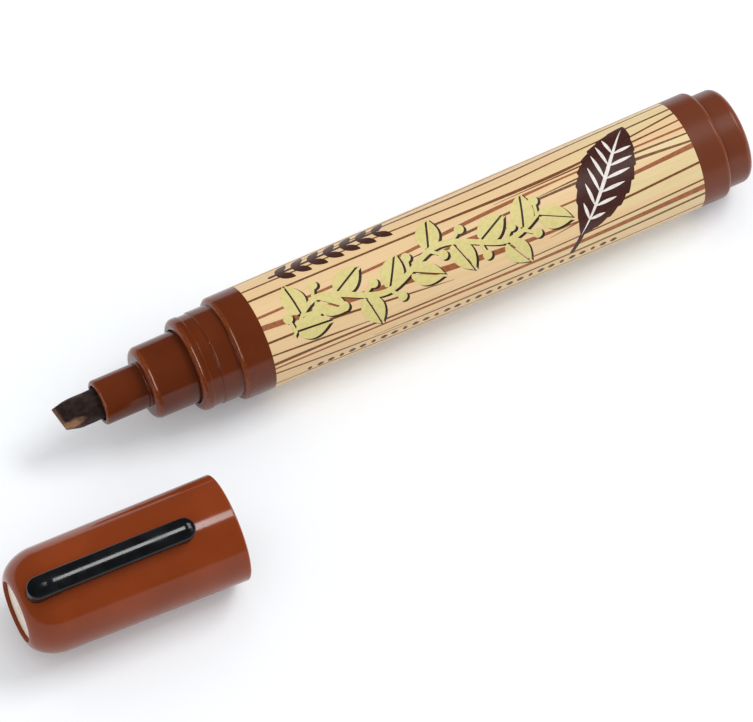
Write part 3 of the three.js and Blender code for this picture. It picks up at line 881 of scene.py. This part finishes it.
for i in range(VEIN_COUNT):
    foot = VEIN_START + VEIN_SPAN * i / VEIN_COUNT
    reach = VEIN_REACH * math.sin(math.pi * (foot / LEAF_LENGTH + VEIN_SWELL)) ** VEIN_FULLNESS
    for side in (1, -1):
        veins.append(pointed_leaf((foot, 0), (foot + reach, side * reach), VEIN_WIDTH))
leaf_ink = screen_ink("leaf_ink", seen(78, 36, 28), seen(64, 27, 20), 0.38)
white_ink = screen_ink("white_ink", seen(224, 216, 208), seen(238, 232, 226), 0.4)
inked("print_leaf", placed(leaf, *LEAF_PLACE), lift=0.014, ink=leaf_ink)
inked("print_leaf_veins", placed(veins, *LEAF_PLACE), lift=0.024, ink=white_ink)

SPRIG_START = 5.0
SPRIG_LENGTH = 18.0
SPRIG_ACROSS = 8.6
SPRIG_RISE = 0.3
SPRIG_STEM_WIDTH = 0.55
SPRIG_LEAVES = 7
SPRIG_BARE_END = 1
SPRIG_LEAF_REACH = (2.4, 2.2)
SPRIG_LEAF_WIDTH = 1.5
stem_end = (SPRIG_START + SPRIG_LENGTH, SPRIG_ACROSS + SPRIG_RISE)
sprig = [stroke((SPRIG_START, SPRIG_ACROSS), stem_end, SPRIG_STEM_WIDTH)]
for i in range(SPRIG_LEAVES):
    leafy_length = SPRIG_LENGTH - 2 * SPRIG_BARE_END
    foot = SPRIG_START + SPRIG_BARE_END + leafy_length * i / (SPRIG_LEAVES - 1)
    for side in (1, -1):
        tip = (foot + SPRIG_LEAF_REACH[0], SPRIG_ACROSS + side * SPRIG_LEAF_REACH[1])
        sprig.append(pointed_leaf((foot, SPRIG_ACROSS), tip, SPRIG_LEAF_WIDTH))
inked("print_sprig", sprig, lift=0.014, ink=leaf_ink)

LOZENGE_COUNT = 30
LOZENGE_PITCH = 1.75
LOZENGE_START = 5.5
LOZENGE_ACROSS = -9.7
LOZENGE_HALF = 0.62
SHORT_LOZENGE_HALF = 0.4
LOZENGE_WIDTH = 0.9
lozenges = []
for i in range(LOZENGE_COUNT):
    middle = LOZENGE_START + LOZENGE_PITCH * i
    half = LOZENGE_HALF if i % 3 else SHORT_LOZENGE_HALF
    front = (middle - half, LOZENGE_ACROSS)
    rear = (middle + half, LOZENGE_ACROSS)
    lozenges.append(pointed_leaf(front, rear, LOZENGE_WIDTH, steps=8))
inked("print_lozenges", lozenges, lift=0.014, ink=leaf_ink)

# Cap shell. A red-brown polypropylene moulding with a high polish, lighter than the barrel. It slides over
# the neck, where a bead inside its mouth snaps into the groove. Its rounded end has a window for the
# liner's boss, and a slot near that end takes the clip's tongue.
CAP_AHEAD = 12.94
CAP_ASIDE = 27.75
CAP_TURN = math.radians(-2.06)
CAP_LENGTH = 33.3
CAP_MOUTH_RADIUS = 8.18
CAP_DRAFT = 0.31
CAP_BORE = 7.34
CAP_MOUTH_EDGE = 0.3
CAP_END_LENGTH = 5.0
CAP_END_DROP = 3.15
CAP_END_FULLNESS = 1.8
CAP_END_STEPS = 32
CAP_INNER_EDGE = 0.8
CAP_BEAD_WIDTH = 0.9
CAP_BEAD_RADIUS = 7.15
CAP_BEAD_AT = -3.89
LINER_MOUTH = 7.2
LINER_SEAT_RADIUS = 6.85
LINER_DRAFT = 0.25
CAP_DEPTH = 31.2
WINDOW_RADIUS = 4.65
CLIP_ROLL = math.radians(108)
CLIP_END_INSET = 1.0
TONGUE_INSET = 2.4
TONGUE_LENGTH = 2.6
TONGUE_WIDTH = 2.0
TONGUE_FIT = 0.2
CLIP_ROOT = CLIP_END_INSET - CAP_LENGTH
TONGUE_MIDDLE = CLIP_ROOT + TONGUE_INSET + TONGUE_LENGTH / 2

cap_mouth = shoulder + Vector((-CAP_AHEAD, -CAP_ASIDE, CAP_MOUTH_RADIUS - REAR_RADIUS)) * MM
cap_frame = Matrix.Translation(cap_mouth) @ Matrix.Rotation(CAP_TURN, 4, "Z")
clip_frame = cap_frame @ Matrix.Rotation(CLIP_ROLL - math.pi / 2, 4, "X")


def cap_radius(x):
    """The shell's outside radius, with the soft rounding of its end."""
    radius = CAP_MOUTH_RADIUS + CAP_DRAFT * x / CAP_LENGTH
    into_end = min(max(1 - (x + CAP_LENGTH) / CAP_END_LENGTH, 0.0), 1.0)
    return radius - CAP_END_DROP * (1 - (1 - into_end ** CAP_END_FULLNESS) ** (1 / CAP_END_FULLNESS))


def cap_end():
    """Corners along the rounded end, from its face to its side."""
    corners = []
    for step in range(CAP_END_STEPS + 1):
        turn = math.pi / 2 * step / CAP_END_STEPS
        x = CAP_END_LENGTH * (1 - math.cos(turn) ** (2 / CAP_END_FULLNESS)) - CAP_LENGTH
        corners.append((x, cap_radius(x), 0))
    return corners


def cap_shell_outline():
    return [
        (-CAP_LENGTH, WINDOW_RADIUS, FINE_EDGE / 2),
        *cap_end(),
        (0, CAP_MOUTH_RADIUS, CAP_MOUTH_EDGE),
        (0, CAP_BORE, CAP_MOUTH_EDGE),
        (CAP_BEAD_AT + CAP_BEAD_WIDTH / 2, CAP_BORE, FINE_EDGE),
        (CAP_BEAD_AT, CAP_BEAD_RADIUS, FINE_EDGE),
        (CAP_BEAD_AT - CAP_BEAD_WIDTH / 2, CAP_BORE, FINE_EDGE),
        (-LINER_MOUTH, CAP_BORE, FINE_EDGE),
        (-LINER_MOUTH, LINER_SEAT_RADIUS, FINE_EDGE),
        (-CAP_DEPTH, LINER_SEAT_RADIUS - LINER_DRAFT, CAP_INNER_EDGE),
        (-CAP_DEPTH, WINDOW_RADIUS, FINE_EDGE),
    ]


def tongue_block(piece, operation, fit, foot, top):
    """Cuts the clip's tongue out of a piece or joins it on, between two heights over the cap's axis."""
    bm = bmesh.new()
    size = Vector((TONGUE_LENGTH + 2 * fit, TONGUE_WIDTH + 2 * fit, top - foot)) * MM
    middle = Vector((TONGUE_MIDDLE, 0, (top + foot) / 2)) * MM
    stretch = Matrix.Translation(middle) @ Matrix.Diagonal((*size, 1))
    bmesh.ops.create_cube(bm, size=1, matrix=clip_frame @ stretch)
    mesh = mesh_of("tongue_block", bm)
    block = in_scene("tongue_block", mesh)
    change = piece.modifiers.new("tongue", "BOOLEAN")
    change.operation = operation
    change.object = block
    change.solver = "EXACT"
    piece.modifiers.move(len(piece.modifiers) - 1, 0)
    with bpy.context.temp_override(object=piece, active_object=piece):
        bpy.ops.object.modifier_apply(modifier=change.name)
    bpy.data.objects.remove(block)
    bpy.data.meshes.remove(mesh)


# The edge colour paints the rounded edges paler: partly wear, partly a painted highlight.
cap_plastic = moulded_plastic(
    "cap_plastic",
    deep=seen(127, 54, 20),
    pale=seen(139, 60, 24),
    edge=seen(160, 86, 52),
    gloss=0.13,
    shine=0.3,
)
cap_shell = shaped("cap_moulding", turned(cap_shell_outline(), closed=True), cap_frame, cap_plastic)
tongue_block(cap_shell, "DIFFERENCE", TONGUE_FIT, foot=CAP_MOUTH_RADIUS / 2, top=CAP_MOUTH_RADIUS * 1.5)
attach(cap_shell, "cap")
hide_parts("cap_shell")

# Cap liner. A cup of natural polyethylene pressed into the shell, which closes on the collar and keeps the
# nib wet. Its cored boss fills the window in the shell's end and shows there as a pale disc below the rim.
LINER_RADIUS = 6.75
LINER_BORE = 5.85
LINER_WALL = 0.9
LINER_DEPTH = 30.1
LINER_END = 31.1
LINER_END_WALL = 1.0
LINER_EDGE = 0.3
WINDOW_RECESS = 0.58
BOSS_FIT = 0.1
BOSS_RADIUS = WINDOW_RADIUS - BOSS_FIT


def cap_liner_outline():
    boss_face = WINDOW_RECESS - CAP_LENGTH
    core_floor = boss_face + LINER_END_WALL
    core_radius = BOSS_RADIUS - LINER_WALL
    return [
        (boss_face + GATE_DEPTH, 0, 0),
        (boss_face + GATE_DEPTH, GATE_RADIUS, FINE_EDGE),
        (boss_face, GATE_RADIUS, FINE_EDGE),
        (boss_face, BOSS_RADIUS, 2 * FINE_EDGE),
        (-LINER_END, BOSS_RADIUS, FINE_EDGE),
        (-LINER_END, LINER_RADIUS - LINER_DRAFT, CAP_INNER_EDGE),
        (-LINER_MOUTH, LINER_RADIUS, FINE_EDGE),
        (-LINER_MOUTH, LINER_BORE, LINER_EDGE),
        (-LINER_DEPTH, LINER_BORE - LINER_DRAFT, CAP_INNER_EDGE),
        (-LINER_DEPTH, core_radius, FINE_EDGE),
        (core_floor, core_radius, FINE_EDGE),
        (core_floor, 0, 0),
    ]


def natural_plastic(name, deep, pale):
    """Undyed polyethylene: milky, waxy and faintly clouded."""
    material, tree, shader, place = bare_material(name)
    haze = cloud(tree, place, 260, 3)
    skin = cloud(tree, place, 2200, 2)
    coat(tree, shader, blend(tree, haze, deep, pale), spread(tree, haze, 0.3, 0.7, 0.38, 0.5))
    relief(tree, shader, skin, depth=0.003)
    shader.inputs["Subsurface Weight"].default_value = 0.1
    shader.inputs["Subsurface Scale"].default_value = 0.001
    return material


liner_plastic = natural_plastic("liner_plastic", seen(243, 224, 204), seen(250, 236, 220))
cap_liner = shaped("cap_liner_cup", turned(cap_liner_outline()), cap_frame, liner_plastic)
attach(cap_liner, "cap")
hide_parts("cap_liner")

# Clip. A glossy black moulding with round ends and a domed back, whose tongue plugs into the shell's slot.
# Its root sits on the cap. From there a sprung bar runs clear of the wall to a small pad under the nose.
CLIP_LENGTH = 25.9
CLIP_HALF_WIDTH = 1.7
CLIP_RISE = 2.4
CLIP_DOME = 0.8
CLIP_DOME_FULLNESS = 2.0
CLIP_CLEARANCE = 0.75
CLIP_SEAT_GAP = 0.18
CLIP_ROOT_LENGTH = 5.2
CLIP_ROOT_DROP = 0.2
CLIP_STEP_AT = 3.3
CLIP_STEP = 0.1
CLIP_STEP_LENGTH = 0.3
CLIP_FREED_LENGTH = 0.8
CLIP_PAD_LENGTH = 2.6
CLIP_PAD_SHARE = 0.85
CLIP_FOOT_EDGE = 0.08
CLIP_NOSE = CLIP_ROOT + CLIP_LENGTH
CLIP_SEGMENTS = 60
CLIP_END_STEPS = 20
CLIP_FOOT_INSETS = (0.0, 0.5, 0.9)
CLIP_DOME_INSETS = (1.0, 0.99, 0.965, 0.93, 0.87, 0.79, 0.69, 0.58, 0.46, 0.34, 0.22, 0.1, 0.0)


def cap_surface(x, side):
    """Height of the shell's outside over its axis, at a distance to the side."""
    return math.sqrt(max(cap_radius(x) ** 2 - side ** 2, 0))


def clip_top(x):
    """Height of the clip's crest: a step at the root block, then a gentle fall to the root's end."""
    from_root = x - CLIP_ROOT
    crest = CAP_MOUTH_RADIUS + CAP_DRAFT * x / CAP_LENGTH + CLIP_RISE
    crest -= CLIP_STEP * (1 - eased((from_root - CLIP_STEP_AT) / CLIP_STEP_LENGTH + 0.5))
    return crest - CLIP_ROOT_DROP * eased(1 - from_root / CLIP_STEP_AT) ** 2


def clip_underside(x, side):
    """Height of the underside: on the shell at the root, clear of it along the bar, near it at the pad."""
    from_root = x - CLIP_ROOT
    freed = eased((from_root - CLIP_ROOT_LENGTH) / CLIP_FREED_LENGTH + 1)
    pad_at = CLIP_NOSE - CLIP_HALF_WIDTH
    pad = eased(1 - abs(x - pad_at) / (CLIP_PAD_LENGTH / 2))
    gap = CLIP_SEAT_GAP + (CLIP_CLEARANCE - CLIP_SEAT_GAP) * freed * (1 - CLIP_PAD_SHARE * pad)
    return cap_surface(x, side) + gap


def clip_shape():
    """Rings of the clip's stadium outline: up the side walls, then inwards over the dome to the crest."""
    bm = bmesh.new()
    first = CLIP_ROOT + CLIP_HALF_WIDTH
    last = CLIP_NOSE - CLIP_HALF_WIDTH
    path = []
    for start, end, side in ((last, first, 1), (first, last, -1)):
        out = Vector((0, side))
        for k in range(CLIP_SEGMENTS):
            path.append((start + (end - start) * k / CLIP_SEGMENTS, out))
        for k in range(CLIP_END_STEPS):
            path.append((end, Matrix.Rotation(math.pi * k / CLIP_END_STEPS, 2) @ out))

    def ring(inset, height):
        made = []
        for centre, out in path:
            x = centre + out.x * CLIP_HALF_WIDTH * inset
            side = out.y * CLIP_HALF_WIDTH * inset
            made.append(bm.verts.new(Vector((x, side, height(x, side))) * MM))
        return made

    rings = [ring(inset, clip_underside) for inset in CLIP_FOOT_INSETS]
    rings.append(ring(1.0, lambda x, side: clip_underside(x, side) + CLIP_FOOT_EDGE))
    for inset in CLIP_DOME_INSETS:
        fall = CLIP_DOME * (1 - (1 - inset ** CLIP_DOME_FULLNESS) ** (1 / CLIP_DOME_FULLNESS))
        rings.append(ring(inset, lambda x, side: clip_top(x) - fall))
    banded(bm, rings)
    bmesh.ops.remove_doubles(bm, verts=bm.verts, dist=1e-8)
    bmesh.ops.dissolve_degenerate(bm, dist=1e-9, edges=bm.edges)
    return bm


def black_gloss(name):
    """Black polypropylene with a mirror polish, a little greyed where fingers have rubbed it."""
    material, tree, shader, place = bare_material(name)
    handled = cloud(tree, place, 300, 3)
    skin = cloud(tree, place, 3000, 2)
    tint = blend(tree, spread(tree, handled, 0.35, 0.7, 0, 1), seen(13, 14, 16), seen(24, 25, 29))
    coat(tree, shader, tint, spread(tree, handled, 0.3, 0.7, 0.1, 0.18), shine=0.27)
    relief(tree, shader, skin, depth=0.001)
    shader.inputs["IOR"].default_value = 1.5
    return material


clip = shaped("clip_bar", clip_shape(), clip_frame, black_gloss("clip_plastic"))
tongue_top = cap_radius(TONGUE_MIDDLE) + CLIP_RISE / 2
tongue_block(clip, "UNION", 0, foot=LINER_SEAT_RADIUS + TONGUE_FIT, top=tongue_top)
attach(clip, "clip")
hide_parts("clip")

# Table. A plain sheet of cool white paper under the marker and its cap. It renders white where light falls
# freely on it, also in reflections, and keeps the shadows of the two pieces. These sizes are in metres.
TABLE_SIZE = 6.0
TABLE_GLOW = 0.13
TABLE_GLOW_AFAR = 0.45
TABLE_NEAR = 0.15
TABLE_AFAR = 1.2
table_shape = bmesh.new()
bmesh.ops.create_grid(table_shape, x_segments=1, y_segments=1, size=TABLE_SIZE / 2)
table_mesh = mesh_of("table_sheet", table_shape)
table = in_scene("table_sheet", table_mesh)
table.location.z = shoulder.z - REAR_RADIUS * MM
table_paper, paper_tree, paper_shader, paper_place = bare_material("table_paper")
paper_tooth = cloud(paper_tree, paper_place, 900, 2)
paper_tint = blend(paper_tree, paper_tooth, seen(235, 239, 243), seen(239, 242, 246))
paper_tree.links.new(paper_tint, paper_shader.inputs["Base Color"])
paper_shader.inputs["Roughness"].default_value = 0.9
paper_shader.inputs["Specular IOR Level"].default_value = 0.0
paper_rays = node(paper_tree, "ShaderNodeLightPath").outputs
looked_at = maths(paper_tree, "MAXIMUM", paper_rays["Is Camera Ray"], paper_rays["Is Glossy Ray"])
looked_at = maths(paper_tree, "MAXIMUM", looked_at, paper_rays["Is Transmission Ray"])
paper_away = node(paper_tree, "ShaderNodeVectorMath", {"operation": "LENGTH"}, {0: paper_place}).outputs[1]
paper_glow = spread(paper_tree, paper_away, TABLE_NEAR, TABLE_AFAR, TABLE_GLOW, TABLE_GLOW_AFAR)
paper_level = maths(paper_tree, "MULTIPLY", looked_at, paper_glow)
paper_tree.links.new(paper_level, paper_shader.inputs["Emission Strength"])
paper_shader.inputs["Emission Color"].default_value = (1, 1, 1, 1)
table_mesh.materials.append(table_paper)

# Studio light. A white tent gives most of it, evenly from all round, and is flagged off so that little of
# it shows in the gloss. Two softboxes give the soft direction. Two shaded lamps only draw bright lines: a
# strip at the left on the edges of the marker's nose, and a small box overhead along the clip and the cap.
# Places and sizes here are in metres.
TENT_LIGHT = 0.74
TENT_IN_GLOSS = 0.1
tent = bpy.data.worlds.new("tent")
tent.use_nodes = True
bpy.context.scene.world = tent
tent_tree = tent.node_tree
tent_light = tent_tree.nodes["Background"]
tent_light.inputs["Color"].default_value = (1, 1, 1, 1)
tent_rays = node(tent_tree, "ShaderNodeLightPath").outputs
tent_level = spread(tent_tree, tent_rays["Is Glossy Ray"], 0, 1, TENT_LIGHT, TENT_IN_GLOSS)
tent_level = maths(tent_tree, "MAXIMUM", tent_level, tent_rays["Is Camera Ray"])
tent_tree.links.new(tent_level, tent_light.inputs["Strength"])


def softbox(name, towards, distance, width, depth, level, aim=(0, 0, 0)):
    """A lamp that lights a surface facing it, at the aim, to that share of plain white.

    Its width runs along the marker and its depth across it.
    """
    lamp = bpy.data.lights.new(name, "AREA")
    lamp.shape = "RECTANGLE"
    lamp.size = width
    lamp.size_y = depth
    lamp.energy = level * (math.pi * distance) ** 2
    holder = in_scene(name, lamp)
    towards = Vector(towards).normalized()
    across = towards.cross(Vector((1, 0, 0))).normalized()
    facing = Matrix((across.cross(towards), across, towards)).transposed().to_4x4()
    holder.matrix_world = Matrix.Translation(Vector(aim) + towards * distance) @ facing
    return holder


def shade(holder, pieces):
    """Leaves of a lamp only its bright lines on those pieces."""
    holder.visible_diffuse = False
    reached = bpy.data.collections.new(holder.name + "_reach")
    for piece in pieces:
        reached.objects.link(piece)
    holder.light_linking.receiver_collection = reached


softbox("right_softbox", (0.6, -0.03, 0.8), distance=1.2, width=0.43, depth=0.6, level=0.42)
softbox("front_softbox", (0.72, -0.35, 0.6), distance=1.2, width=0.5, depth=0.5, level=0.06)
left_strip = softbox("left_strip", (-0.62, -0.4, 0.68), distance=0.7, width=0.05, depth=0.8, level=1.1)
shade(left_strip, [barrel, nib_holder, tail_plug])
overhead_box = softbox(
    "overhead_box",
    (0.17, -0.1, 0.98),
    distance=0.25,
    width=0.045,
    depth=0.06,
    level=0.24,
    aim=(-0.05, -0.0173, 0.017),
)
shade(overhead_box, [cap_shell, clip])

# Camera. A long lens that looks down on the marker and the cap from in front, from the nib's side. Its aim
# and distance follow the outlines of the two pieces in the photograph.
CAMERA_AIM = Vector((-0.2835, 1.859, 7.98)) * MM
CAMERA_DISTANCE = 820.95 * MM
CAMERA_AZIMUTH = math.radians(27.47)
CAMERA_ELEVATION = math.radians(55.96)
CAMERA_LENS = 267.02
camera = in_scene("camera", bpy.data.cameras.new("camera"))
camera.data.lens = CAMERA_LENS
camera.data.sensor_width = 36
camera.data.clip_start = 0.01
camera.data.clip_end = 20
looking = Vector((math.sin(CAMERA_AZIMUTH), math.cos(CAMERA_AZIMUTH), 0)) * math.cos(CAMERA_ELEVATION)
looking.z = -math.sin(CAMERA_ELEVATION)
camera.location = CAMERA_AIM - looking * CAMERA_DISTANCE
camera.rotation_euler = looking.to_track_quat("-Z", "Y").to_euler()
bpy.context.scene.camera = camera
bpy.context.scene.view_settings.view_transform = "Standard"
